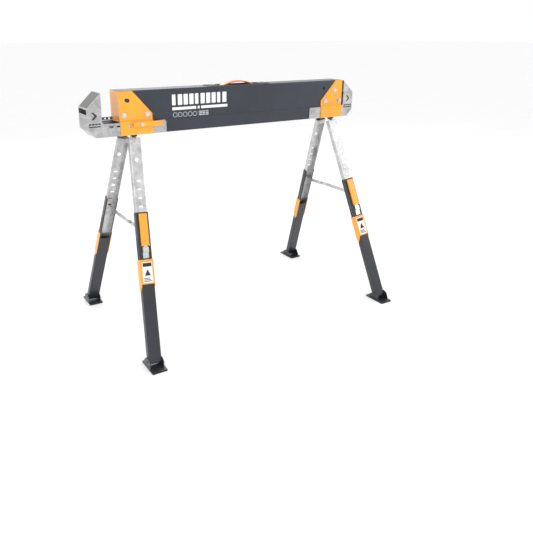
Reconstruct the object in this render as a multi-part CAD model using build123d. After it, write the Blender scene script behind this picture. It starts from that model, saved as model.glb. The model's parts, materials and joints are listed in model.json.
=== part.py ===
from build123d import *
import math
import os

# Folding sawhorse, millimetres. Origin on the floor under the middle of the beam.
# X runs along the beam (left is -X), Y from front to back, Z up.
# The right end is the left end turned half a turn about Z, so each part is made once
# and copied with that turn.

# ---- overall sizes ----
working_height = 813.0
beam_length = 880.0
beam_height = 135.0
beam_width = 72.0

# ---- beam shell ----
shell_sheet = 1.5
band_height = 40.0
band_step = 2.0
top_corner_radius = 4.0
shell_end_gap = 2.7
side_hole_radius = 4.5
side_hole_inset = 85.0
side_hole_drop = 28.0

# ---- clearances ----
sliding_gap = 0.3
pin_gap = 0.05

# ---- orange end brackets ----
bracket_sheet = 2.4
big_wing_top = 44.0
big_wing_base = 108.0
small_wing_top = 32.0
small_wing_base = 98.0
wing_shoulder_drop = 72.0
slot_hole_width = 17.0
slot_hole_height = 12.0
slot_hole_inset = 27.0
slot_hole_drop = 29.0
slot_hole_tilt = 12.0

# ---- crossbar arms ----
arm_sheet = 2.0
arm_depth = 46.0
arm_top_slope = 45.0
arm_chamfer = 24.0
arm_long_tail = 210.0
arm_short_tail = 158.0
arm_closed_gap = 6.0
arm_left_extension = 50.0
arm_window = 18.0
arm_pad_thickness = 6.0
arm_pad_height = 52.0
rack_height = 9.0
rack_thickness = 2.0
rack_hole_radius = 3.0
rack_hole_pitch = 13.0
rack_hole_count = 7

# ---- arm lock lever ----
lever_length = 98.0
lever_height = 16.0
lever_depth = 7.0
lever_sheet = 1.8
lever_pivot_offset = 28.0
lever_inset = 40.0
lever_bolt_radius = 4.0

# ---- bolts ----
bolt_radius = 4.0
bolt_head_across = 13.0
bolt_head_height = 5.0
washer_radius = 8.5
washer_thickness = 1.5
bolt_inset_outer = 14.0
big_bolt_inset = 92.0
small_bolt_inset = 80.0
bolt_drop = 74.0
upper_bolt_inset = 38.0
upper_bolt_drop = 36.0

# ---- legs ----
leg_splay = 21.3
leg_lean = 6.0
leg_width = 42.0
leg_depth = 20.0
leg_sheet = 1.6
leg_fit = 0.3
inner_leg_inset = 52.0
outer_leg_inset = 31.0
leg_line_offset = 13.1
inner_root_drop = 10.0
outer_root_drop = 14.0
leg_top_above_root = -3.0
upper_leg_end = 430.0
lower_leg_start = 240.0
foot_pin_height = 17.6
round_hole_at = 74.0
round_hole_radius = 6.5
first_slot_at = 141.0
slot_pitch = 27.0
slot_count = 5
slot_width = 13.0
slot_height = 6.0
socket_length = 20.0
spigot_radius = 6.0

# ---- leg hinge ----
stowed_lane = 14.0
inner_level_drop = 60.0
outer_level_drop = 109.5
hinge_pin_radius = 4.5
hinge_barrel_radius = 7.5
hinge_web = 2.5
hinge_frame_rise = 17.0
hinge_plate = 2.5

# ---- height latch ----
latch_top = 245.0
latch_bottom = 345.0
latch_width = 26.0
latch_depth = 6.4
latch_sheet = 1.6
latch_pivot_at = 343.0
latch_pivot_out = 4.2
latch_pin_radius = 2.0
latch_eye_radius = 3.6
latch_tooth_width = 10.0
latch_tooth_height = 4.4
clip_bottom = 384.0
collar_top = 388.0
collar_bottom = 464.0
collar_tail = 26.0
collar_sheet = 2.0

# ---- brace ----
brace_at = 290.0
brace_web_gap = 1.3
brace_thickness = 3.0
brace_depth = 12.0
brace_side_gap = 0.2
brace_pin_radius = 2.5
brace_short_share = 0.33
brace_rivet_radius = 4.0
window_width = 34.0
window_end = 412.0
side_slot_start = 320.0
side_slot_end = 392.0
side_slot_width = 5.0

# ---- feet ----
foot_width = 49.0
foot_toe = 44.0
foot_heel = 40.0
foot_plate = 1.8
foot_pad_height = 3.2
foot_pin_radius = 4.0
ear_sheet = 2.0
tread_count = 5

# ---- carry handle ----
tray_length = 240.0
tray_width = 52.0
tray_depth = 24.0
tray_sheet = 2.2
tray_lip = 5.0
handle_length = 146.0
handle_width = 24.0
handle_thickness = 4.5
handle_rise = 11.0
handle_drop = 8.0
handle_post_radius = 4.0
handle_post_length = 18.0
boss_height = 12.5
tray_rivet_radius = 2.5

# ---- stock stops ----
stop_length = 64.0
stop_depth = 9.0
stop_sheet = 2.0
left_stop_inset = 9.0
right_stop_inset = 40.0
stop_travel = 38.0
stop_rivet_radius = 3.0

# ---- values that follow from the sizes above ----
half_length = beam_length / 2
beam_top = working_height
beam_bottom = working_height - beam_height
band_top = beam_bottom + band_height
hinge_frame_top = band_top + hinge_frame_rise
brace_pivot_in = brace_depth / 2 + brace_web_gap - (leg_depth / 2 - 2 * leg_sheet - leg_fit)
shell_half = beam_width / 2
band_half = shell_half + band_step
arm_inner = band_half + sliding_gap
arm_outer = arm_inner + arm_sheet
wing_inner = arm_outer + sliding_gap
wing_outer = wing_inner + bracket_sheet
upper_wing_outer = shell_half + bracket_sheet

splay = math.radians(leg_splay)
splay_sine = math.sin(splay)
splay_cosine = math.cos(splay)
inner_leg_x = half_length - inner_leg_inset
outer_leg_x = half_length - outer_leg_inset
inner_root_z = beam_bottom - inner_root_drop
outer_root_z = beam_bottom - outer_root_drop

lean = math.radians(leg_lean)
outward = splay_cosine * math.sin(lean)

# The hinge pins lie level, turned in plan so that one turn takes a splayed, leaning leg to one
# that lies along the beam.
hinge_skew = math.atan(splay_sine / (1 + outward))
fold_angle = math.acos(-(outward + math.sin(hinge_skew) ** 2) / math.cos(hinge_skew) ** 2)


def turned(shape):
    """The same shape half a turn about the vertical axis through the beam's middle."""
    return Rot(0, 0, 180) * shape


def box_between(low, high):
    """A box from its lowest corner to its highest corner."""
    size = [h - l for l, h in zip(low, high)]
    return Pos(*low) * Box(*size, align=(Align.MIN, Align.MIN, Align.MIN))


def plate_xz(points, y_low, y_high):
    """A flat plate with its outline in X and Z, from y_low to y_high."""
    outline = make_face(Polyline(*[(x, y_low, z) for x, z in points], close=True))
    return extrude(outline, amount=y_high - y_low, dir=(0, 1, 0))


def plate_yz(points, x_low, x_high):
    """A flat plate with its outline in Y and Z, from x_low to x_high."""
    outline = make_face(Polyline(*[(x_low, y, z) for y, z in points], close=True))
    return extrude(outline, amount=x_high - x_low, dir=(1, 0, 0))


def rod(start, direction, radius, length):
    """A round bar from start, along direction."""
    along = Vector(*direction).normalized()
    plane = Plane(origin=start, z_dir=along)
    return extrude(plane * Circle(radius), amount=length)


def rod_y(x, z, y_low, y_high, radius):
    return rod((x, y_low, z), (0, 1, 0), radius, y_high - y_low)


def rod_x(y, z, x_low, x_high, radius):
    return rod((x_low, y, z), (1, 0, 0), radius, x_high - x_low)


def slot_y(x, z, length, height, y_low, y_high, tilt=0):
    """A round-ended slot through Y."""
    plane = Plane(origin=(x, y_low, z), x_dir=(1, 0, 0), z_dir=(0, 1, 0))
    profile = plane * Rot(0, 0, tilt) * SlotOverall(length, height)
    return extrude(profile, amount=y_high - y_low)


def hex_bolt(x, z, y_face, outward, shank_end):
    """Washer, hex head and shank; outward is -1 for a head that faces the front."""
    y_washer = y_face + outward * washer_thickness
    y_head = y_washer + outward * bolt_head_height
    washer = rod_y(x, z, min(y_face, y_washer), max(y_face, y_washer), washer_radius)
    plane = Plane(origin=(x, min(y_washer, y_head), z), z_dir=(0, 1, 0))
    head = extrude(plane * RegularPolygon(bolt_head_across / 2, 6, major_radius=False),
                   amount=bolt_head_height)
    shank = rod_y(x, z, min(y_head, shank_end), max(y_head, shank_end), bolt_radius)
    return washer + head + shank


# ---------------------------------------------------------------- beam shell
def beam_section(half_upper, half_band, top, ledge, bottom):
    """The beam's stepped section as points in Y and Z."""
    return [
        (-half_band, bottom), (-half_band, ledge), (-half_upper, ledge), (-half_upper, top),
        (half_upper, top), (half_upper, ledge), (half_band, ledge), (half_band, bottom),
    ]


def big_wing_bolts():
    """X and Z of the bolts in the left bracket's front wing."""
    z = beam_top - bolt_drop
    return [(-half_length + bolt_inset_outer, z), (-half_length + big_bolt_inset, z)]


def small_wing_bolts():
    """X and Z of the bolts in the left bracket's back wing."""
    z = beam_top - bolt_drop
    return [(-half_length + bolt_inset_outer, z), (-half_length + small_bolt_inset, z)]


def upper_bolt():
    """X and Z of the extra bolt in the right bracket's front wing."""
    return half_length - upper_bolt_inset, beam_top - upper_bolt_drop


def make_beam_shell():
    end = half_length - shell_end_gap
    outside = plate_yz(beam_section(shell_half, band_half, beam_top, band_top, beam_bottom), -end, end)
    outside = fillet(outside.edges().filter_by(Axis.X).group_by(Axis.Z)[-1], top_corner_radius)
    inside = plate_yz(beam_section(shell_half - shell_sheet, band_half - shell_sheet, beam_top - shell_sheet,
                                   band_top - shell_sheet, beam_bottom - 1), -end - 1, end + 1)
    inside = fillet(inside.edges().filter_by(Axis.X).group_by(Axis.Z)[-1], top_corner_radius - shell_sheet)
    shell = outside - inside
    shell -= box_between((-tray_length / 2 + tray_lip, -tray_width / 2 + tray_lip, beam_top - 10),
                         (tray_length / 2 - tray_lip, tray_width / 2 - tray_lip, beam_top + 5))
    front_holes = [(x, z, bolt_radius) for x, z in big_wing_bolts() + [upper_bolt()]]
    front_holes += [(-x, z, bolt_radius) for x, z in small_wing_bolts()]
    front_holes += [(half_length - side_hole_inset, beam_top - side_hole_drop, side_hole_radius)]
    back_holes = [(-x, z, bolt_radius) for x, z in big_wing_bolts()]
    back_holes += [(x, z, bolt_radius) for x, z in small_wing_bolts()]
    back_holes += [(-half_length + side_hole_inset, beam_top - side_hole_drop, side_hole_radius)]
    back_holes += [(x, stop_rivet_z(), stop_rivet_radius) for x in all_stop_rivet_places()]
    for x, z, radius in front_holes:
        shell -= rod_y(x, z, -shell_half - 1, -shell_half + 4, radius + pin_gap)
    for x, z, radius in back_holes:
        shell -= rod_y(x, z, shell_half - 4, shell_half + 1, radius + pin_gap)
    return shell


# ---------------------------------------------------------------- end brackets
def wing(width_top, width_base, side):
    """A side plate of an end bracket at the left end; side is -1 for front, 1 for back."""
    left = -half_length
    shoulder = beam_top - wing_shoulder_drop
    ledge = band_top + sliding_gap
    upper = plate_xz([(left, ledge), (left, beam_top - 1), (left + width_top, beam_top - 1),
                      (left + width_base, shoulder), (left + width_base, ledge)], shell_half, upper_wing_outer)
    corner = upper.edges().filter_by(Axis.Y).sort_by(Axis.X)[2:3]
    upper = fillet(corner, 6)
    joggle = box_between((left, shell_half, ledge), (left + width_base, wing_outer, ledge + bracket_sheet))
    lower = box_between((left, wing_inner, beam_bottom), (left + width_base, wing_outer, ledge + bracket_sheet))
    shape = upper + joggle + lower
    return shape if side > 0 else mirror(shape, Plane.XZ)


def make_end_bracket():
    left = -half_length
    ledge = band_top + sliding_gap
    wall = box_between((left, -upper_wing_outer, ledge), (left + bracket_sheet, upper_wing_outer, beam_top - 1))
    shape = wing(big_wing_top, big_wing_base, -1) + wing(small_wing_top, small_wing_base, 1) + wall
    rack_low = rack_y() - sliding_gap * 2
    shape -= box_between((left - 1, rack_low, ledge - 1),
                         (left + bracket_sheet + 1, shell_half + 0.1, rack_z() + rack_height + 1))
    shape -= slot_y(left + slot_hole_inset, beam_top - slot_hole_drop, slot_hole_width, slot_hole_height,
                    -shell_half - 5, -shell_half + 1, tilt=slot_hole_tilt)
    for x, z in big_wing_bolts():
        shape -= rod_y(x, z, -wing_outer - 1, -shell_half + 5, bolt_radius + pin_gap)
    for x, z in small_wing_bolts():
        shape -= rod_y(x, z, shell_half - 5, wing_outer + 1, bolt_radius + pin_gap)
    shape -= rod_y(lever_x(), lever_z(), -wing_outer - 1, -wing_inner + 1, lever_bolt_radius + pin_gap)
    window_x = left + lever_inset - 12
    shape -= box_between((window_x, -wing_outer - 1, lever_z() - 8), (window_x + 7, -wing_inner + 1, lever_z() + 7))
    return shape


def make_end_bracket_right():
    x, z = upper_bolt()
    return turned(make_end_bracket()) - rod_y(x, z, -wing_outer - 1, -shell_half + 5, bolt_radius + pin_gap)


def make_bracket_bolts():
    """The bolts of the left bracket, two in front and two behind."""
    front = [hex_bolt(x, z, -upper_wing_outer, -1, -shell_half + shell_sheet) for x, z in big_wing_bolts()]
    back = [hex_bolt(x, z, upper_wing_outer, 1, shell_half - shell_sheet) for x, z in small_wing_bolts()]
    return front + back


def make_bracket_bolts_right():
    x, z = upper_bolt()
    return [turned(bolt) for bolt in make_bracket_bolts()] + [
        hex_bolt(x, z, -upper_wing_outer, -1, -shell_half + shell_sheet)]


# ---------------------------------------------------------------- crossbar arms
def arm_side(tail, face):
    """Outline of an arm's side plate in X and Z; face is the X of the upright's bearing face."""
    outer = face - arm_depth
    top = beam_top - 2
    end = face + tail
    return [
        (face, top), (outer, top - arm_top_slope), (outer, beam_bottom + arm_chamfer),
        (outer + arm_chamfer, beam_bottom), (end, beam_bottom), (end, band_top - 6), (end - 4, band_top),
        (face + 5, band_top), (face, band_top + 5),
    ]


def make_arm(extension):
    """The arm of the left end, drawn out by extension beyond its closed place."""
    face = -half_length - arm_closed_gap - extension
    outer = face - arm_depth
    top = beam_top - 2
    shape = plate_xz(arm_side(arm_long_tail, face), -arm_outer, -arm_inner)
    shape += plate_xz(arm_side(arm_short_tail, face), arm_inner, arm_outer)
    shape += plate_xz([(face, top), (outer, top - arm_top_slope), (outer, top - arm_top_slope - 3),
                       (face, top - 3)], -arm_outer, arm_outer)
    wall_top = top - arm_top_slope - arm_window
    shape += box_between((outer, -arm_outer, beam_bottom + arm_chamfer), (outer + arm_sheet, arm_outer, wall_top))
    shape += plate_xz([(outer, beam_bottom + arm_chamfer), (outer + arm_chamfer, beam_bottom),
                       (outer + arm_chamfer, beam_bottom + 3), (outer + 3, beam_bottom + arm_chamfer)],
                      -arm_outer, arm_outer)
    shape += box_between((outer + arm_chamfer, -arm_outer, beam_bottom), (face, arm_outer, beam_bottom + arm_sheet))
    shape += box_between((outer, -arm_outer, band_top - arm_sheet), (face + 2, arm_outer, band_top))
    for place in range(3):
        shape -= slot_y(face + 28 + 24 * place, band_top - 10, 15, 5, -arm_outer - 1, -arm_inner + 1)
    shape -= box_between((face + arm_long_tail - 40, -arm_outer - 1, band_top - 5),
                         (face + arm_long_tail - 26, -arm_inner + 1, band_top + 1))
    return shape


def make_arm_pad(extension):
    """The black bearing block on the upright's face, between the side plates."""
    face = -half_length - arm_closed_gap - extension
    half = rack_y() - sliding_gap
    pad = box_between((face - arm_pad_thickness, -half, band_top), (face, half, band_top + arm_pad_height))
    return chamfer(pad.edges().filter_by(Axis.Y).group_by(Axis.Z)[-1], 1.5)


def rack_y():
    return shell_half - shell_sheet - sliding_gap - rack_thickness


def rack_z():
    return band_top + 2


def make_arm_rack(extension):
    """The drilled strip that joins the upright and slides along the inside of the beam's back wall."""
    face = -half_length - arm_closed_gap - extension
    low = rack_z()
    end = face + rack_hole_pitch * rack_hole_count + 4
    strip = box_between((face - 8, rack_y(), low), (end, rack_y() + rack_thickness, low + rack_height))
    strip += box_between((face - 8, rack_y(), low), (face - 4, arm_inner, low + rack_height))
    for n in range(rack_hole_count):
        x = face + rack_hole_pitch * (n + 0.6)
        strip -= rod_y(x, low + rack_height / 2, rack_y() - 1, rack_y() + rack_thickness + 1, rack_hole_radius)
    return strip


# ---------------------------------------------------------------- arm lock lever
def lever_x():
    return -half_length + lever_inset + lever_pivot_offset


def lever_z():
    return band_top - 8


def make_arm_lever():
    """The rocking lever on the front of the left bracket, a channel with a closed tip."""
    x_low = lever_x() - lever_pivot_offset
    x_high = x_low + lever_length
    z_mid = lever_z()
    y_back = -wing_outer - sliding_gap
    y_front = y_back - lever_depth
    outline = Plane(origin=((x_low + x_high) / 2, y_front, z_mid), x_dir=(1, 0, 0), z_dir=(0, 1, 0))
    lever = extrude(outline * RectangleRounded(lever_length, lever_height, 3), amount=lever_depth)
    half = lever_height / 2 - lever_sheet
    lever -= box_between((x_low - 1, y_front + lever_sheet, z_mid - half), (x_high - 10, y_back + 1, z_mid + half))
    lever += rod_y(lever_x(), z_mid, y_front, y_back, lever_bolt_radius + 2)
    return lever - rod_y(lever_x(), z_mid, y_front - 1, y_back + 1, lever_bolt_radius + pin_gap)


def make_lever_bolt():
    y_front = -wing_outer - sliding_gap * 2 - lever_depth
    shank = rod_y(lever_x(), lever_z(), y_front, -wing_inner, lever_bolt_radius)
    head = rod_y(lever_x(), lever_z(), y_front - 3, y_front, lever_bolt_radius + 2.2)
    return shank + fillet(head.edges().group_by(Axis.Y)[0], 1.2)


# ---------------------------------------------------------------- leg places
def upright_root(inner):
    """A front leg's root before the leg leans to the beam's end: left inner leg or right outer leg."""
    z = inner_root_z if inner else outer_root_z
    x = -inner_leg_x if inner else outer_leg_x
    y = -leg_line_offset - (beam_bottom - z) * math.tan(splay)
    return Vector(x, y, z)


def lean_place(inner):
    """Leans a whole end outwards about a line across the beam, midway between its two legs."""
    x = (-1 if inner else 1) * (inner_leg_x + outer_leg_x) / 2
    turn = leg_lean if inner else -leg_lean
    return Pos(x, 0, beam_bottom) * Rot(0, turn, 0) * Pos(-x, 0, -beam_bottom)


def leg_place(inner):
    """The place of a front leg: its own Z runs up along the leg and its face looks to the front."""
    return lean_place(inner) * Location(tuple(upright_root(inner)), (-leg_splay, 0, 0))


def root_of(inner):
    """Where a front leg's own axis starts."""
    return leg_place(inner).position


def foot_pin_at(inner):
    """Height of the foot pin in a leg's own frame."""
    return -(root_of(inner).Z - foot_pin_height) / splay_cosine / math.cos(lean)


def along(inner, distance):
    """A height in a leg's own frame; distance runs down the leg from the inner leg's root."""
    drop = 0 if inner else (inner_root_z - outer_root_z) / splay_cosine
    return drop - distance


def hinge_axis(inner):
    """Direction of a leg's hinge pin, pointing to the back."""
    side = -1 if inner else 1
    return Vector(side * math.sin(hinge_skew), math.cos(hinge_skew), 0)


def hinge_centre(inner):
    """The point of the hinge pin that is nearest to the leg's root."""
    root = root_of(inner)
    level = beam_top - (inner_level_drop if inner else outer_level_drop)
    inward = 1 if inner else -1
    rise_y = -stowed_lane - root.Y
    rise = Vector(inward * rise_y / math.tan(hinge_skew), rise_y, level - root.Z)
    across = rise.cross(hinge_axis(inner)).normalized()
    if across.X * inward > 0:
        across = across * -1
    return root + rise * 0.5 + across * (rise.length / 2 / math.tan(fold_angle / 2))


def pin_point(inner, y):
    """The point of a hinge pin at a given Y."""
    centre = hinge_centre(inner)
    axis = hinge_axis(inner)
    return centre + axis * ((y - centre.Y) / axis.Y)


# ---------------------------------------------------------------- hinge frame and knuckles
def hinge_pin(inner):
    """A pin from the front side plate to the middle web."""
    start = pin_point(inner, -(shell_half - shell_sheet - hinge_plate / 2))
    end = pin_point(inner, 0)
    return rod(tuple(start), tuple(end - start), hinge_pin_radius, (end - start).length)


def make_hinge_frame():
    """The left end's welded hinge frame: two side plates, a middle web, a cross plate and both pins."""
    wall = shell_half - shell_sheet - 0.1
    low = -half_length + shell_end_gap + 0.3
    inner_at = hinge_centre(True)
    outer_at = hinge_centre(False)
    high = -min(-inner_at.X, outer_at.X) + hinge_pin_radius + 3
    z_low = beam_bottom + 0.5
    front = box_between((low, -wall, z_low), (high, -wall + hinge_plate, hinge_frame_top))
    back = box_between((low, wall - hinge_plate, z_low), (high, wall, band_top))
    web = box_between((low, -hinge_web / 2, z_low), (high, hinge_web / 2, hinge_frame_top))
    cross = box_between((low, -wall, hinge_frame_top - 14), (low + 2, rack_y() - 1, hinge_frame_top))
    strap = box_between((low, rack_y() - 3, band_top - 2), (low + 2, rack_y() - 1, hinge_frame_top))
    strap += box_between((low, rack_y() - 3, band_top - 3), (low + 2, wall, band_top))
    return front + back + web + cross + strap + hinge_pin(True) + turned(hinge_pin(False))


def make_knuckle(inner):
    """Barrel on the skewed pin, crank web and the spigot that carries the leg."""
    lean = hinge_barrel_radius * math.sin(hinge_skew)
    front = pin_point(inner, -(shell_half - shell_sheet - hinge_plate) + 0.5 + lean)
    back = pin_point(inner, -hinge_web / 2 - 0.4 - lean)
    axis = hinge_axis(inner)
    barrel = rod(tuple(front), tuple(axis), hinge_barrel_radius, (back - front).length)
    place = leg_place(inner)
    head_height = 12.0
    spigot = place * rod((0, 0, -socket_length), (0, 0, 1), spigot_radius, socket_length + head_height / 2)
    head = place * Pos(0, 0, head_height / 2 + 1) * Box(18, 13, head_height - 2)
    top = place * Pos(0, 0, head_height / 2 + 1)
    middle = (front + back) * 0.5
    reach = top.position - middle
    crank_plane = Plane(origin=tuple(middle), x_dir=tuple(axis), z_dir=tuple(reach.normalized()))
    crank = extrude(crank_plane * Rectangle(12, 11), amount=reach.length)
    bore_start = pin_point(inner, -shell_half - 10)
    bore = rod(tuple(bore_start), tuple(axis), hinge_pin_radius + pin_gap, shell_half + 20)
    return barrel + head + spigot + crank - bore


# ---------------------------------------------------------------- leg parts in the leg's own frame
def make_upper_leg(inner):
    """The zinc channel: web to the front, open at the back, slots for the latch, brace pin inside."""
    half_x = leg_width / 2 - leg_sheet - leg_fit
    half_y = leg_depth / 2 - leg_sheet - leg_fit
    top = leg_top_above_root
    bottom = along(inner, upper_leg_end)
    body = box_between((-half_x, -half_y, bottom), (half_x, half_y, top))
    body = fillet(body.edges().filter_by(Axis.Z).group_by(Axis.Y)[0], 2.2)
    body -= box_between((-half_x + leg_sheet, -half_y + leg_sheet, bottom - 1),
                        (half_x - leg_sheet, half_y + 1, top + 1))
    body -= rod_y(0, along(inner, round_hole_at), -half_y - 1, 0, round_hole_radius)
    for n in range(slot_count + 1):
        z = along(inner, first_slot_at + slot_pitch * n)
        body -= slot_y(0, z, slot_width, slot_height, -half_y - 1, 0)
    socket = box_between((-half_x + 1, -half_y + 1, -socket_length), (half_x - 1, half_y, top))
    body += socket
    body -= rod((0, 0, -socket_length - 1), (0, 0, 1), spigot_radius + pin_gap, socket_length + 20)
    z = along(inner, brace_at)
    side = brace_side(inner)
    near = side * (brace_x_offset() - brace_thickness - brace_side_gap * 2)
    far = side * (half_x - leg_sheet / 2)
    body += rod_x(brace_pivot_in, z, min(near, far), max(near, far), brace_pin_radius)
    return body


def brace_side(inner):
    """Which way the brace lies from a front leg's middle plane."""
    return -1 if inner else 1


def brace_x_offset():
    """From a leg's middle plane to the plane where the two brace halves meet."""
    return (inner_leg_x + outer_leg_x) / 2 - inner_leg_x


def make_lower_leg(inner):
    """The painted outer tube that slides on the channel, open along its back for the brace."""
    half_x = leg_width / 2
    half_y = leg_depth / 2
    top = along(inner, lower_leg_start)
    pin_z = foot_pin_at(inner)
    body = box_between((-half_x, -half_y, pin_z), (half_x, half_y, top))
    body = fillet(body.edges().filter_by(Axis.Z), 2.6)
    body += rod_x(0, pin_z, -half_x, half_x, half_y)
    body -= box_between((-half_x + leg_sheet, -half_y + leg_sheet, pin_z - half_y - 1),
                        (half_x - leg_sheet, half_y - leg_sheet, top + 1))
    body -= box_between((-window_width / 2, 0, along(inner, window_end)), (window_width / 2, half_y + 1, top + 1))
    slot_low = along(inner, side_slot_end)
    slot_high = along(inner, side_slot_start)
    body -= box_between((-half_x - 1, -side_slot_width / 2, slot_low), (half_x + 1, side_slot_width / 2, slot_high))
    tooth_z = along(inner, tooth_at())
    body -= box_between((-latch_tooth_width / 2 - 1.5, -half_y - 1, tooth_z - 5),
                        (latch_tooth_width / 2 + 1.5, 0, tooth_z + 5))
    return body - rod_x(0, pin_z, -half_x - 1, half_x + 1, foot_pin_radius + pin_gap)


def tooth_at():
    return first_slot_at + slot_pitch * (slot_count - 1)


def latch_pivot_y():
    return -leg_depth / 2 - latch_pivot_out


def make_height_latch(inner):
    """The orange lever: a channel on a pin with a tooth at its upper end."""
    face = -leg_depth / 2 - 1.0
    outer = face - latch_depth
    top = along(inner, latch_top)
    bottom = along(inner, latch_bottom)
    half = latch_width / 2
    body = box_between((-half, outer, bottom), (half, face, top))
    body = fillet(body.edges().filter_by(Axis.Z).group_by(Axis.Y)[0], 2)
    body -= box_between((-half + latch_sheet, outer + latch_sheet, bottom - 1),
                        (half - latch_sheet, face + 1, top - latch_sheet))
    z = along(inner, tooth_at())
    tooth_tip = -leg_depth / 2 + leg_sheet
    body += box_between((-latch_tooth_width / 2, outer + latch_sheet / 2, z - latch_tooth_height / 2),
                        (latch_tooth_width / 2, tooth_tip, z + latch_tooth_height / 2))
    pivot_z = along(inner, latch_pivot_at)
    for side in (-1, 1):
        near = side * (half - latch_sheet - 1.4)
        body += rod_x(latch_pivot_y(), pivot_z, min(near, side * half), max(near, side * half), latch_eye_radius)
    return body - rod_x(latch_pivot_y(), pivot_z, -half - 1, half + 1, latch_pin_radius + pin_gap)


def make_latch_clip(inner):
    """The bright clip that carries the latch's pin."""
    face = -leg_depth / 2
    pivot_z = along(inner, latch_pivot_at)
    half = latch_width / 2 - latch_sheet - 1.8
    base = box_between((-half, face - 1.4, along(inner, clip_bottom)), (half, face, along(inner, latch_bottom + 4)))
    step = box_between((-half, face - 5, along(inner, latch_bottom + 21)), (half, face, along(inner, latch_bottom + 5)))
    saddle = box_between((-half + 3, latch_pivot_y(), along(inner, latch_bottom + 6)),
                         (half - 3, face, pivot_z + latch_pin_radius))
    pin = rod_x(latch_pivot_y(), pivot_z, -latch_width / 2, latch_width / 2, latch_pin_radius)
    return base + step + saddle + pin


def make_leg_guard(inner):
    """The orange guard round the front and sides of the lower leg, with a tail on each side."""
    half_x = leg_width / 2
    half_y = leg_depth / 2
    top = along(inner, collar_top)
    bottom = along(inner, collar_bottom)
    outer = box_between((-half_x - collar_sheet, -half_y - collar_sheet, bottom), (half_x + collar_sheet, half_y, top))
    outer = fillet(outer.edges().filter_by(Axis.Z).group_by(Axis.Y)[0], 2.4)
    tail = [(-half_y, bottom + 1), (half_y, bottom + 1), (half_y, bottom - collar_tail * 0.55),
            (half_y - 6, bottom - collar_tail), (-half_y, bottom - 6)]
    shape = outer + plate_yz(tail, -half_x - collar_sheet, -half_x) + plate_yz(tail, half_x, half_x + collar_sheet)
    return shape - box_between((-half_x, -half_y, bottom - collar_tail - 1), (half_x, half_y + 1, top + 1))


def make_foot_shoe(inner):
    """The steel shoe: a level base plate, two ears that lean with the leg, and the pin."""
    pin_z = foot_pin_height
    half = foot_width / 2
    top = foot_pad_height + foot_plate
    near = leg_width / 2 + sliding_gap
    ear = [(-26, -pin_z), (-26, top - pin_z), (-20, 6), (-8, 12), (8, 12), (20, 4), (26, top - pin_z), (26, -pin_z)]
    ears = plate_yz(ear, near, near + ear_sheet) + plate_yz(ear, -near - ear_sheet, -near)
    ears += rod_x(0, 0, -near - ear_sheet - 1.2, near + ear_sheet + 1.2, foot_pin_radius)
    ears = Pos(0, 0, pin_z) * Rot(0, leg_lean if inner else -leg_lean, 0) * ears
    ears -= box_between((-2 * half, -foot_toe, -pin_z), (2 * half, foot_heel, foot_pad_height + foot_plate / 2))
    return ears + box_between((-half, -foot_toe, foot_pad_height), (half, foot_heel, top))


def make_foot_pad():
    """The rubber sole with cross treads."""
    half = foot_width / 2
    pad = box_between((-half, -foot_toe - 1.5, 0), (half, foot_heel + 1.5, foot_pad_height))
    pad = fillet(pad.edges().filter_by(Axis.Z), 3)
    step = (foot_toe + foot_heel) / tread_count
    for n in range(tread_count - 1):
        y = -foot_toe + step * (n + 1)
        pad -= box_between((-half - 1, y - 2, -1), (half + 1, y + 2, 1.6))
    return pad


def foot_place(inner):
    """The foot stands level on the floor under the leg's pin."""
    pin = (leg_place(inner) * Pos(0, 0, foot_pin_at(inner))).position
    return Pos(pin.X, pin.Y, 0)


def upright_brace_pivot(inner):
    """The brace pin of a front leg before the leg leans."""
    place = Location(tuple(upright_root(inner)), (-leg_splay, 0, 0))
    return (place * Pos(0, brace_pivot_in, along(inner, brace_at))).position


def brace_pivot(inner):
    """The brace pin of a front leg, in the beam's frame."""
    return (leg_place(inner) * Pos(0, brace_pivot_in, along(inner, brace_at))).position


def make_brace_link(inner):
    """One half of the folding brace, with an eye at the leg and a round end at the middle."""
    pivot = upright_brace_pivot(inner)
    span = abs(pivot.Y) * 2
    length = span * (brace_short_share if inner else 1 - brace_short_share)
    meet = (-1 if inner else 1) * (inner_leg_x + outer_leg_x) / 2
    # The inner legs' links lie on the inner side of the meeting plane, the outer legs' on the outer side.
    low = meet + brace_side_gap
    end_y = pivot.Y + length
    centre = Plane(origin=(low, (pivot.Y + end_y) / 2, pivot.Z), x_dir=(0, 1, 0), z_dir=(1, 0, 0))
    bar = extrude(centre * SlotOverall(length + brace_depth, brace_depth), amount=brace_thickness)
    bar += rod_x(end_y, pivot.Z, low + brace_thickness, low + brace_thickness + 2.5, brace_rivet_radius)
    bar -= rod_x(pivot.Y, pivot.Z, low - 1, low + brace_thickness + 1, brace_pin_radius + pin_gap)
    return lean_place(inner) * bar


def front_leg_parts(inner):
    """Every part of one front leg, placed."""
    place = leg_place(inner)
    foot = foot_place(inner)
    return {
        "leg_knuckle": make_knuckle(inner),
        "upper_leg": place * make_upper_leg(inner),
        "lower_leg": place * make_lower_leg(inner),
        "height_latch": place * make_height_latch(inner),
        "latch_clip": place * make_latch_clip(inner),
        "leg_guard": place * make_leg_guard(inner),
        "foot_shoe": foot * make_foot_shoe(inner),
        "foot_pad": foot * make_foot_pad(),
        "brace_link": make_brace_link(inner),
    }


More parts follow.
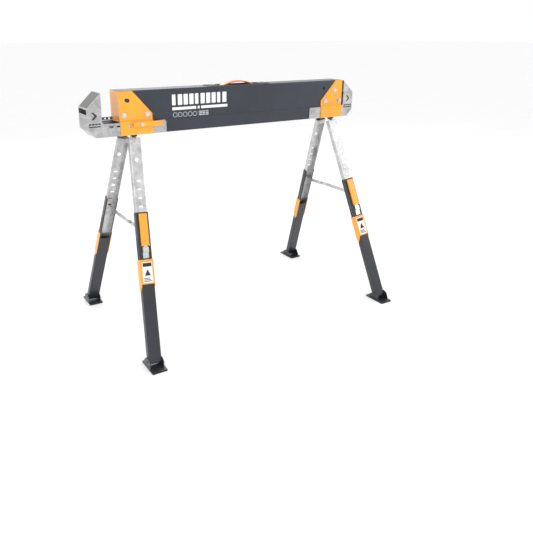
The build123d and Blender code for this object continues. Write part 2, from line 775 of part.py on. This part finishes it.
# ---------------------------------------------------------------- carry handle
def make_handle_tray():
    """The moulded tray that hangs in the opening in the top of the beam."""
    top = beam_top + 1.6
    tray = box_between((-tray_length / 2, -tray_width / 2, beam_top), (tray_length / 2, tray_width / 2, top))
    tray = fillet(tray.edges().filter_by(Axis.Z), 6)
    inner_x = tray_length / 2 - tray_lip - 0.5
    inner_y = tray_width / 2 - tray_lip - 0.5
    floor = beam_top - tray_depth
    tray += box_between((-inner_x, -inner_y, floor), (inner_x, inner_y, top))
    pocket = handle_length / 2 + 8
    tray -= box_between((-pocket, -inner_y + tray_sheet, floor + tray_sheet), (pocket, inner_y - tray_sheet, top + 1))
    for side in (-1, 1):
        x = side * post_x()
        tray += rod((x, 0, floor), (0, 0, 1), handle_post_radius + 3, boss_height)
        tray -= rod((x, 0, floor + 1), (0, 0, 1), handle_post_radius + pin_gap, boss_height)
        tray -= rod((side * (pocket + 10), 0, floor + 2), (0, 0, 1), tray_rivet_radius + pin_gap, tray_depth)
    return tray


def post_x():
    return handle_length / 2 - handle_post_radius - 6


def make_carry_handle():
    """A bowed grip with a post under each end."""
    half = handle_length / 2
    low_z = beam_top - handle_drop
    bow = ThreePointArc((-half, 0, low_z), (0, 0, low_z + handle_rise + handle_drop), (half, 0, low_z))
    start = Plane(origin=(-half, 0, low_z), z_dir=tuple(bow % 0), x_dir=(0, 1, 0))
    grip = sweep(start * RectangleRounded(handle_width, handle_thickness, 1.6), path=bow)
    for side in (-1, 1):
        grip += rod((side * post_x(), 0, beam_top - tray_depth + 2), (0, 0, 1), handle_post_radius, handle_post_length)
    return grip


def make_tray_screws():
    screws = []
    for side in (-1, 1):
        x = side * (handle_length / 2 + 18)
        shank = rod((x, 0, beam_top - 16), (0, 0, 1), tray_rivet_radius, 17.6)
        head = rod((x, 0, beam_top + 1.6), (0, 0, 1), tray_rivet_radius + 2.5, 1.4)
        screws.append(shank + head)
    return screws


# ---------------------------------------------------------------- stock stops
def stop_start(left_end):
    """X where a stock stop begins."""
    return -half_length + left_stop_inset if left_end else half_length - right_stop_inset - stop_length


def stop_rivet_places(left_end):
    start = stop_start(left_end)
    return [start + stop_length * 0.64, start + stop_length * 0.88] if left_end else [
        start + stop_length * 0.2, start + stop_length * 0.58]


def all_stop_rivet_places():
    return stop_rivet_places(True) + stop_rivet_places(False)


def stop_rivet_z():
    return beam_top - 5 - stop_rivet_radius


def make_stock_stop(left_end):
    """A slide-up stop: a plate with bent-out sides, slotted for two rivets."""
    low = stop_start(left_end)
    high = low + stop_length
    y = upper_wing_outer + sliding_gap
    z_high = beam_top - 1
    z_low = stop_rivet_z() - stop_travel - stop_rivet_radius - 5
    stop = box_between((low, y, z_low), (high, y + stop_depth, z_high))
    stop -= box_between((low + stop_sheet, y + stop_sheet, z_low - 1), (high - stop_sheet, y + stop_depth + 1, z_high + 1))
    for x in stop_rivet_places(left_end):
        slot_centre = stop_rivet_z() - stop_travel / 2
        stop -= slot_y(x, slot_centre, stop_travel + 2 * (stop_rivet_radius + pin_gap),
                       2 * (stop_rivet_radius + pin_gap), y - 1, y + stop_sheet + 1, tilt=90)
    return stop


def make_stop_rivets():
    y_head = upper_wing_outer + sliding_gap * 2 + stop_sheet
    rivets = []
    for x in all_stop_rivet_places():
        shank = rod_y(x, stop_rivet_z(), shell_half - shell_sheet, y_head, stop_rivet_radius)
        collar = rod_y(x, stop_rivet_z(), shell_half, upper_wing_outer, stop_rivet_radius + 2)
        head = rod_y(x, stop_rivet_z(), y_head, y_head + 2, stop_rivet_radius + 2)
        rivets.append(shank + collar + head)
    return rivets


# ---------------------------------------------------------------- the whole sawhorse
def centre_shift():
    """The two ends don't reach equally far, so everything moves to keep the origin under the middle."""
    left = half_length + arm_closed_gap + arm_left_extension + arm_depth
    right = max(half_length + arm_closed_gap + arm_depth, foot_place(False).position.X + foot_width / 2)
    return (left - right) / 2


def keep(name, shapes):
    """Move to the shared origin and write one STEP file."""
    solids = [Pos(centre_shift(), 0, 0) * shape for shape in shapes]
    part = solids[0] if len(solids) == 1 else Compound(children=solids)
    part.label = name
    export_step(part, f"parts/{name}.step")


def build_beam():
    keep("beam_shell", [make_beam_shell()])
    keep("end_bracket_left", [make_end_bracket()])
    keep("end_bracket_right", [make_end_bracket_right()])
    keep("bracket_bolts_left", make_bracket_bolts())
    keep("bracket_bolts_right", make_bracket_bolts_right())
    frame = make_hinge_frame()
    keep("hinge_frame_left", [frame])
    keep("hinge_frame_right", [turned(frame)])
    keep("handle_tray", [make_handle_tray()])
    keep("carry_handle", [make_carry_handle()])
    keep("tray_screws", make_tray_screws())
    keep("stock_stop_left", [make_stock_stop(True)])
    keep("stock_stop_right", [make_stock_stop(False)])
    keep("stop_rivets", make_stop_rivets())


def build_arms():
    out = arm_left_extension
    keep("crossbar_arm_left", [make_arm(out)])
    keep("crossbar_arm_right", [turned(make_arm(0))])
    keep("arm_pad_left", [make_arm_pad(out)])
    keep("arm_pad_right", [turned(make_arm_pad(0))])
    keep("arm_rack_left", [make_arm_rack(out)])
    keep("arm_rack_right", [turned(make_arm_rack(0))])
    lever = make_arm_lever()
    bolt = make_lever_bolt()
    keep("arm_lever_left", [lever])
    keep("arm_lever_right", [turned(lever)])
    keep("lever_bolts", [bolt, turned(bolt)])


def build_legs():
    for inner, front, back in ((True, "left_front", "right_back"), (False, "right_front", "left_back")):
        for name, shape in front_leg_parts(inner).items():
            keep(f"{name}_{front}", [shape])
            keep(f"{name}_{back}", [turned(shape)])


os.makedirs("parts", exist_ok=True)
build_beam()
build_arms()
build_legs()
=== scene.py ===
import json
import math

import bmesh
import bpy
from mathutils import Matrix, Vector


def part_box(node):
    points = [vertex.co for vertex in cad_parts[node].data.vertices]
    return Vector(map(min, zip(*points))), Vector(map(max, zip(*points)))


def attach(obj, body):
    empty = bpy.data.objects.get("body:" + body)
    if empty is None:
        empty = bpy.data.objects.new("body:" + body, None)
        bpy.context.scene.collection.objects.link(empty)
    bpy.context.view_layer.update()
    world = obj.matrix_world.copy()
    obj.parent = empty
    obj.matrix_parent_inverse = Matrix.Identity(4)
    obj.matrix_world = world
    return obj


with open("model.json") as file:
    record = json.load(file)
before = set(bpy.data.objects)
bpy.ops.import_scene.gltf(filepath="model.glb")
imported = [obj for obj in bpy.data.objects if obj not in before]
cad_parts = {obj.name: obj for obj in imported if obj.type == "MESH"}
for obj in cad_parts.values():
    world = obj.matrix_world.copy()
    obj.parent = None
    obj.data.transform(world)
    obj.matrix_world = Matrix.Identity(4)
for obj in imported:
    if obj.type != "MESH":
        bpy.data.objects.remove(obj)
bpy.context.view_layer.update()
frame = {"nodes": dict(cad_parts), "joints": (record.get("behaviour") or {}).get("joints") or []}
NODES = frame["nodes"]

LEGS = ("left_front", "left_back", "right_front", "right_back")
MM = 0.001

# ------------------------------------------------------------------ materials


def new_material(name):
    """A node material, with its node tree and its shader."""
    mat = bpy.data.materials.new(name)
    mat.use_nodes = True
    tree = mat.node_tree
    shader = tree.nodes["Principled BSDF"]
    return mat, tree, shader


def object_coords(tree, scale=(1, 1, 1)):
    """Object-space coordinates, scaled."""
    coord = tree.nodes.new("ShaderNodeTexCoord")
    mapping = tree.nodes.new("ShaderNodeMapping")
    mapping.inputs["Scale"].default_value = scale
    tree.links.new(coord.outputs["Object"], mapping.inputs["Vector"])
    return mapping.outputs["Vector"]


def noise(tree, vector, scale, detail=4.0, rough=0.55):
    node = tree.nodes.new("ShaderNodeTexNoise")
    node.inputs["Scale"].default_value = scale
    node.inputs["Detail"].default_value = detail
    node.inputs["Roughness"].default_value = rough
    tree.links.new(vector, node.inputs["Vector"])
    return node.outputs["Fac"]


def ramp(tree, factor, stops):
    """A colour ramp with (position, colour) stops."""
    node = tree.nodes.new("ShaderNodeValToRGB")
    elements = node.color_ramp.elements
    while len(elements) < len(stops):
        elements.new(0.5)
    for element, (position, colour) in zip(elements, stops):
        element.position = position
        element.color = (*colour, 1)
    tree.links.new(factor, node.inputs["Fac"])
    return node.outputs["Color"]


def value_range(tree, factor, low, high, start=0.3, end=0.7):
    """Maps a factor to a number between low and high."""
    node = tree.nodes.new("ShaderNodeMapRange")
    node.inputs["From Min"].default_value = start
    node.inputs["From Max"].default_value = end
    node.inputs["To Min"].default_value = low
    node.inputs["To Max"].default_value = high
    tree.links.new(factor, node.inputs["Value"])
    return node.outputs["Result"]


def rounded_bump(tree, shader, height, strength, distance, edge=0.0007):
    """Fine bump over edges that the shading rounds off."""
    bevel = tree.nodes.new("ShaderNodeBevel")
    bevel.samples = 4
    bevel.inputs["Radius"].default_value = edge
    bump = tree.nodes.new("ShaderNodeBump")
    bump.inputs["Strength"].default_value = strength
    bump.inputs["Distance"].default_value = distance
    tree.links.new(height, bump.inputs["Height"])
    tree.links.new(bevel.outputs["Normal"], bump.inputs["Normal"])
    tree.links.new(bump.outputs["Normal"], shader.inputs["Normal"])


def edge_wear(tree, base, worn, amount, edge=0.0010):
    """Lets the worn colour show along the edges, broken up by noise."""
    geometry = tree.nodes.new("ShaderNodeNewGeometry")
    bevel = tree.nodes.new("ShaderNodeBevel")
    bevel.samples = 4
    bevel.inputs["Radius"].default_value = edge
    turn = tree.nodes.new("ShaderNodeVectorMath")
    turn.operation = "DOT_PRODUCT"
    tree.links.new(geometry.outputs["Normal"], turn.inputs[0])
    tree.links.new(bevel.outputs["Normal"], turn.inputs[1])
    near_edge = value_range(tree, turn.outputs["Value"], 1, 0, 0.80, 0.97)
    patches = noise(tree, object_coords(tree), 140, 5, 0.7)
    broken = value_range(tree, patches, 0, amount, 0.50, 0.62)
    both = tree.nodes.new("ShaderNodeMath")
    both.operation = "MULTIPLY"
    tree.links.new(near_edge, both.inputs[0])
    tree.links.new(broken, both.inputs[1])
    mix = tree.nodes.new("ShaderNodeMix")
    mix.data_type = "RGBA"
    tree.links.new(both.outputs[0], mix.inputs["Factor"])
    tree.links.new(base, mix.inputs["A"])
    mix.inputs["B"].default_value = (*worn, 1)
    return mix.outputs["Result"]


def painted(name, dark, light, rough, coat, texture_scale=900, strength=0.10,
            worn=(0.35, 0.35, 0.36), wear=0.5):
    """Powder coat: slight colour drift, orange-peel bump and worn edges."""
    mat, tree, shader = new_material(name)
    vector = object_coords(tree)
    drift = ramp(tree, noise(tree, vector, 9, 3), [(0.35, dark), (0.65, light)])
    tree.links.new(edge_wear(tree, drift, worn, wear), shader.inputs["Base Color"])
    tree.links.new(value_range(tree, noise(tree, vector, 35, 5), rough - 0.06, rough + 0.08),
                   shader.inputs["Roughness"])
    shader.inputs["Coat Weight"].default_value = coat
    shader.inputs["Coat Roughness"].default_value = 0.12
    rounded_bump(tree, shader, noise(tree, vector, texture_scale, 2), strength, 0.0004)
    return mat


def galvanised(name, dark, light, rough_low, rough_high, brush=(1, 1, 1)):
    """Zinc-coated sheet: cloudy spangle, soft streaks and fine scratches."""
    mat, tree, shader = new_material(name)
    vector = object_coords(tree)
    spangle = tree.nodes.new("ShaderNodeTexVoronoi")
    spangle.inputs["Scale"].default_value = 170
    tree.links.new(vector, spangle.inputs["Vector"])
    cloud = noise(tree, vector, 28, 6, 0.65)
    blend = tree.nodes.new("ShaderNodeMix")
    blend.data_type = "RGBA"
    blend.inputs["Factor"].default_value = 0.16
    tree.links.new(ramp(tree, cloud, [(0.33, dark), (0.68, light)]), blend.inputs["A"])
    tree.links.new(spangle.outputs["Color"], blend.inputs["B"])
    grey = tree.nodes.new("ShaderNodeHueSaturation")
    grey.inputs["Saturation"].default_value = 0.12
    tree.links.new(blend.outputs["Result"], grey.inputs["Color"])
    tree.links.new(grey.outputs["Color"], shader.inputs["Base Color"])
    shader.inputs["Metallic"].default_value = 0.9
    streak = noise(tree, object_coords(tree, brush), 60, 6, 0.6)
    tree.links.new(value_range(tree, streak, rough_low, rough_high), shader.inputs["Roughness"])
    rounded_bump(tree, shader, streak, 0.12, 0.0005)
    return mat


def moulded(name, colour, light, rough, scale=1400, strength=0.25):
    """Moulded plastic or rubber with a fine grain."""
    mat, tree, shader = new_material(name)
    vector = object_coords(tree)
    drift = ramp(tree, noise(tree, vector, 18, 4), [(0.35, colour), (0.65, light)])
    tree.links.new(drift, shader.inputs["Base Color"])
    tree.links.new(value_range(tree, noise(tree, vector, 50, 4), rough - 0.08, rough + 0.08),
                   shader.inputs["Roughness"])
    rounded_bump(tree, shader, noise(tree, vector, scale, 3), strength, 0.0006)
    return mat


ORANGE = painted("orange_coat", (0.90, 0.335, 0.010), (0.96, 0.375, 0.014), 0.30, 0.55, 700, 0.08,
                 worn=(0.45, 0.30, 0.16), wear=0.35)
DARK = painted("dark_coat", (0.013, 0.018, 0.029), (0.018, 0.024, 0.038), 0.38, 0.2, 950, 0.12)
TUBE = painted("tube_coat", (0.011, 0.012, 0.017), (0.018, 0.020, 0.026), 0.38, 0.25, 950, 0.12)
ZINC = galvanised("zinc_sheet", (0.36, 0.375, 0.37), (0.66, 0.68, 0.67), 0.28, 0.46, (1, 1, 8))
ARM_ZINC = galvanised("arm_zinc", (0.27, 0.285, 0.275), (0.52, 0.54, 0.52), 0.26, 0.42, (8, 1, 1))
DARK_STEEL = galvanised("dark_steel", (0.03, 0.03, 0.032), (0.07, 0.07, 0.075), 0.35, 0.5)
BOLT = galvanised("bolt_zinc", (0.48, 0.48, 0.47), (0.78, 0.78, 0.76), 0.20, 0.34)
PLASTIC = moulded("black_plastic", (0.014, 0.014, 0.016), (0.026, 0.026, 0.028), 0.48)
RUBBER = moulded("black_rubber", (0.012, 0.012, 0.012), (0.022, 0.022, 0.021), 0.7, 1100, 0.35)
GRIP = painted("grip_orange", (0.84, 0.20, 0.006), (0.90, 0.24, 0.010), 0.34, 0.4, 500, 0.14,
               worn=(0.5, 0.2, 0.08), wear=0.2)
PRINT = painted("white_print", (0.72, 0.74, 0.76), (0.84, 0.85, 0.86), 0.45, 0.0, 900, 0.06,
                worn=(0.3, 0.3, 0.32), wear=0.3)
PRINT_DARK = painted("dark_print", (0.012, 0.012, 0.013), (0.025, 0.025, 0.026), 0.5, 0.0, 900, 0.06,
                     worn=(0.2, 0.2, 0.2), wear=0.3)
PRINT_GREY = painted("grey_print", (0.42, 0.44, 0.45), (0.55, 0.57, 0.58), 0.5, 0.0, 900, 0.06)

# Painted reflection: a dark sheet colour for the arms' sloping tops, where the real zinc only mirrors dark
# surroundings.
DARK_REFLECTION_PAINT = painted("painted_dark_reflection", (0.020, 0.015, 0.012), (0.045, 0.036, 0.030), 0.22, 0.3, 400, 0.1,
               worn=(0.2, 0.2, 0.2), wear=0.3)

LOOKS = {
    "beam_shell": DARK, "end_bracket": ORANGE, "bracket_bolts": BOLT, "hinge_frame": DARK_STEEL,
    "handle_tray": PLASTIC, "carry_handle": GRIP, "tray_screws": BOLT, "stop_rivets": BOLT,
    "stock_stop": ORANGE, "crossbar_arm": ARM_ZINC, "arm_pad": PLASTIC, "arm_rack": DARK_STEEL,
    "arm_lever": ORANGE, "lever_bolts": BOLT, "leg_knuckle": DARK_STEEL, "upper_leg": ZINC,
    "lower_leg": TUBE, "height_latch": ORANGE, "latch_clip": BOLT, "leg_guard": ORANGE,
    "foot_shoe": TUBE, "foot_pad": RUBBER, "brace_link": ZINC,
}


def look_of(node):
    return LOOKS[max((key for key in LOOKS if node.startswith(key)), key=len)]


def dress(obj, mat):
    for slot in obj.material_slots:
        slot.material = mat
    if not obj.material_slots:
        obj.data.materials.append(mat)


for node_name, node_obj in NODES.items():
    dress(node_obj, look_of(node_name))

# ------------------------------------------------------------------ helpers for added pieces


def mesh_object(name, build, mat, body):
    """A new piece from a function that fills a bmesh, riding on a body."""
    mesh = bpy.data.meshes.new(name)
    bm = bmesh.new()
    build(bm)
    bmesh.ops.recalc_face_normals(bm, faces=bm.faces)
    bm.to_mesh(mesh)
    bm.free()
    obj = bpy.data.objects.new(name, mesh)
    bpy.context.scene.collection.objects.link(obj)
    mesh.materials.append(mat)
    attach(obj, body)


def prism(bm, outline, origin, across, up, thickness):
    """A thin plate: an outline in two directions, given thickness along their cross product."""
    out = across.cross(up).normalized()
    front = [bm.verts.new(origin + across * a + up * b + out * thickness) for a, b in outline]
    back = [bm.verts.new(origin + across * a + up * b) for a, b in outline]
    bm.faces.new(front)
    bm.faces.new(list(reversed(back)))
    count = len(outline)
    for n in range(count):
        bm.faces.new([front[n], back[n], back[(n + 1) % count], front[(n + 1) % count]])


def rounded_rect(x0, y0, x1, y1, radius, steps=4):
    """Outline points of a rounded rectangle."""
    points = []
    corners = [(x1 - radius, y1 - radius, 0), (x0 + radius, y1 - radius, 90),
               (x0 + radius, y0 + radius, 180), (x1 - radius, y0 + radius, 270)]
    for cx, cy, start in corners:
        for n in range(steps + 1):
            angle = math.radians(start + 90 * n / steps)
            points.append((cx + radius * math.cos(angle), cy + radius * math.sin(angle)))
    return points


# ------------------------------------------------------------------ prints on the beam
SHELL_LOW, SHELL_HIGH = (Vector(corner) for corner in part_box("beam_shell"))
BEAM_MID_X = (SHELL_LOW.x + SHELL_HIGH.x) / 2
FACE_Y = 36.0 * MM
PRINT_THICK = 0.12 * MM
PRINT_START = -0.262
BAR_COUNT = 10
BAR_PITCH = 0.0205
LINE_LENGTHS = (0.086, 0.008, 0.100)
LINE_GAP = 0.005
RING_COUNT = 5
RING_PITCH = 0.0178


def beam_face(side):
    """Origin, across and up directions on a long face; side -1 is the front."""
    origin = Vector((BEAM_MID_X, side * FACE_Y, SHELL_HIGH.z))
    return origin, Vector((-side, 0, 0)), Vector((0, 0, 1))


def beam_print(side, tag):
    """Plain bars and rings where the real one carries print."""
    origin, across, up = beam_face(side)

    def bars(bm):
        for n in range(BAR_COUNT):
            wide = 0.0155 if n % 4 else 0.0125
            x = PRINT_START + n * BAR_PITCH
            prism(bm, rounded_rect(x, -0.053, x + wide, -0.019, 0.002), origin, across, up, PRINT_THICK)

    def line(bm):
        x = PRINT_START
        for wide in LINE_LENGTHS:
            prism(bm, rounded_rect(x, -0.0685, x + wide, -0.0595, 0.0015), origin, across, up, PRINT_THICK)
            x += wide + LINE_GAP

    def rings(bm):
        for n in range(RING_COUNT):
            cx = -0.252 + n * RING_PITCH
            ring(bm, origin, across, up, cx, -0.0835, 0.0078, 0.0062)

    def block(bm):
        for row in range(3):
            for col in range(3):
                x = -0.166 + col * 0.0125
                y = -0.0905 + row * 0.0055
                outline = rounded_rect(x, y, x + 0.0105, y + 0.0035, 0.0008)
                prism(bm, outline, origin, across, up, PRINT_THICK)

    mesh_object(f"beam_print_bars_{tag}", bars, PRINT, "beam")
    mesh_object(f"beam_print_line_{tag}", line, PRINT, "beam")
    mesh_object(f"beam_print_rings_{tag}", rings, PRINT_GREY, "beam")
    mesh_object(f"beam_print_block_{tag}", block, PRINT_GREY, "beam")


def ring(bm, origin, across, up, cx, cy, outer, inner, steps=32):
    """A flat ring with a thin rim."""
    out = across.cross(up).normalized()
    loops = []
    for radius, lift in ((inner, 0), (inner, PRINT_THICK), (outer, PRINT_THICK), (outer, 0)):
        loop = []
        for n in range(steps):
            angle = 2 * math.pi * n / steps
            spot = origin + across * (cx + radius * math.cos(angle)) + up * (cy + radius * math.sin(angle))
            loop.append(bm.verts.new(spot + out * lift))
        loops.append(loop)
    for a, b in zip(loops, loops[1:] + loops[:1]):
        for n in range(steps):
            bm.faces.new([a[n], a[(n + 1) % steps], b[(n + 1) % steps], b[n]])


beam_print(-1, "front")

# ------------------------------------------------------------------ marks on the arms, and a painted dark reflection on their sloping tops
ARM_DEPTH = 0.046
ARM_SLOPE_RISE = 0.045
ARM_PLATE_Y = 40.3 * MM
ARM_MARK_HEIGHT = 0.744
CHEVRON = [(-0.009, 0.011), (-0.002, 0.011), (0.009, 0.0),
           (-0.002, -0.011), (-0.009, -0.011), (0.001, 0.0)]


def arm_marks(side_name, sign):
    """A plain chevron and tick marks on both side plates of an arm's upright."""
    low, high = (Vector(corner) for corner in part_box(f"crossbar_arm_{side_name}"))
    face_x = low.x if sign < 0 else high.x
    mid = face_x - sign * ARM_DEPTH * 0.5
    for y_side, tag in ((-1, "front"), (1, "back")):
        origin = Vector((mid, y_side * ARM_PLATE_Y, ARM_MARK_HEIGHT))
        across = Vector((-y_side, 0, 0))
        up = Vector((0, 0, 1))

        def chevron(bm):
            prism(bm, CHEVRON, origin, across, up, PRINT_THICK)

        def ticks(bm):
            for n in range(4):
                x = -0.018 + n * 0.0095
                outline = rounded_rect(x, -0.027, x + 0.0075, -0.0225, 0.0008)
                prism(bm, outline, origin, across, up, PRINT_THICK)
            base = rounded_rect(-0.018, -0.034, 0.018, -0.0305, 0.0008)
            prism(bm, base, origin, across, up, PRINT_THICK)

        mesh_object(f"arm_mark_chevron_{side_name}_{tag}", chevron, PRINT_DARK, f"arm_{side_name}")
        mesh_object(f"arm_mark_ticks_{side_name}_{tag}", ticks, PRINT_DARK, f"arm_{side_name}")


arm_marks("left", -1)
arm_marks("right", 1)


def arm_top_painted_reflection(side_name, sign):
    """A thin dark sheet on an arm's sloping top: painted reflection, standing in for the dark surroundings
    that the real zinc top mirrors.
    """
    low, high = (Vector(corner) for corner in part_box(f"crossbar_arm_{side_name}"))
    outer = low.x if sign < 0 else high.x
    slope = Vector((-sign, 0, ARM_SLOPE_RISE / ARM_DEPTH)).normalized()
    across = Vector((0, sign, 0))
    origin = Vector((outer, 0, high.z - ARM_SLOPE_RISE))
    long = math.hypot(ARM_DEPTH, ARM_SLOPE_RISE)

    # The sheet carries the painted dark reflection over the sloping top.
    def reflection_sheet(bm):
        outline = rounded_rect(-0.0378, 0.003, 0.0378, long - 0.003, 0.002)
        prism(bm, outline, origin, across, slope, PRINT_THICK)

    mesh_object(f"arm_top_painted_reflection_{side_name}", reflection_sheet, DARK_REFLECTION_PAINT, f"arm_{side_name}")


arm_top_painted_reflection("left", -1)
arm_top_painted_reflection("right", 1)

# ------------------------------------------------------------------ label panels on the leg guards
# From the foot pin up to the middle of the guard, for the outer and the inner legs.
GUARD_REACH = (0.2772, 0.2747)
INNER_LEGS = ("left_front", "right_back")
GUARD_FACE = 12.0 * MM


def joint(name):
    return next(item for item in frame["joints"] if item["name"] == name)


def guard_label(leg):
    """A pale panel on a leg guard, with a dark strip, three bars and a plain triangle."""
    foot_joint = joint(f"foot_{leg}_turn")
    up = Vector(joint(f"height_{leg}")["axis"]).normalized()
    across = -Vector(foot_joint["axis"]).normalized()
    normal = across.cross(up).normalized()
    reach = GUARD_REACH[leg in INNER_LEGS]
    on_axis = Vector(foot_joint["pos_m"]) + up * reach
    origin = on_axis + normal * GUARD_FACE
    raised = origin + normal * PRINT_THICK

    def panel(bm):
        prism(bm, rounded_rect(-0.0165, -0.034, 0.0165, 0.030, 0.002), origin, across, up, PRINT_THICK)

    def strip(bm):
        prism(bm, rounded_rect(-0.0145, 0.016, 0.0145, 0.0275, 0.0012), raised, across, up, PRINT_THICK)
        for n in range(3):
            y = -0.030 + n * 0.0045
            bar = rounded_rect(-0.0135, y, 0.0135 - 0.004 * n, y + 0.0022, 0.0005)
            prism(bm, bar, raised, across, up, PRINT_THICK)

    def icon(bm):
        prism(bm, [(-0.010, -0.012), (0.010, -0.012), (0.0, 0.008)], raised, across, up, PRINT_THICK)

    mesh_object(f"label_panel_{leg}", panel, PRINT, f"lower_leg_{leg}")
    mesh_object(f"label_strip_{leg}", strip, PRINT_DARK, f"lower_leg_{leg}")
    mesh_object(f"label_icon_{leg}", icon, PRINT_DARK, f"lower_leg_{leg}")


for leg_name in LEGS:
    guard_label(leg_name)

# ------------------------------------------------------------------ floor and light
FLOOR_HALF = 60


def floor_piece():
    """A wide pale ground plane."""
    mat, tree, shader = new_material("pale_floor")
    vector = object_coords(tree)
    tone = ramp(tree, noise(tree, vector, 3, 3), [(0.3, (0.95, 0.95, 0.95)), (0.7, (0.97, 0.97, 0.97))])
    tree.links.new(tone, shader.inputs["Base Color"])
    shader.inputs["Roughness"].default_value = 0.75
    mesh = bpy.data.meshes.new("floor")
    bm = bmesh.new()
    spots = ((-1, -1), (1, -1), (1, 1), (-1, 1))
    bm.faces.new([bm.verts.new((x * FLOOR_HALF, y * FLOOR_HALF, 0)) for x, y in spots])
    bm.to_mesh(mesh)
    bm.free()
    mesh.materials.append(mat)
    obj = bpy.data.objects.new("floor", mesh)
    bpy.context.scene.collection.objects.link(obj)


def area_light(name, place, aim, size, power):
    data = bpy.data.lights.new(name, "AREA")
    data.shape = "RECTANGLE"
    data.size, data.size_y = size
    data.energy = power
    obj = bpy.data.objects.new(name, data)
    obj.location = place
    direction = Vector(aim) - Vector(place)
    obj.rotation_euler = direction.to_track_quat("-Z", "Y").to_euler()
    bpy.context.scene.collection.objects.link(obj)


def world_light(strength):
    world = bpy.data.worlds.new("studio")
    world.use_nodes = True
    back = world.node_tree.nodes["Background"]
    back.inputs["Color"].default_value = (1.0, 1.0, 1.0, 1)
    back.inputs["Strength"].default_value = strength
    bpy.context.scene.world = world


floor_piece()
world_light(1.0)
area_light("key", (-1.6, -2.6, 2.6), (0, 0, 0.45), (1.8, 1.4), 34)
area_light("fill", (2.6, -1.8, 1.6), (0, 0, 0.5), (1.6, 1.6), 14)
area_light("rim", (0.3, 2.6, 2.3), (0, 0, 0.6), (2.2, 1.0), 20)

# ------------------------------------------------------------------ camera
CAMERA_AT = (-1.0187, -1.7219, 0.9796)
CAMERA_YAW = math.radians(30.529)
CAMERA_PITCH = math.radians(17.764)
FOCAL = 38.657
SHIFT = (0.0666, -0.0938)


def make_camera():
    data = bpy.data.cameras.new("camera")
    data.lens = FOCAL
    data.sensor_width = 36.0
    data.shift_x, data.shift_y = SHIFT
    data.clip_start = 0.05
    obj = bpy.data.objects.new("camera", data)
    obj.location = CAMERA_AT
    obj.rotation_euler = (math.pi / 2 - CAMERA_PITCH, 0, -CAMERA_YAW)
    bpy.context.scene.collection.objects.link(obj)
    bpy.context.scene.camera = obj


make_camera()
bpy.context.scene.view_settings.view_transform = "Standard"
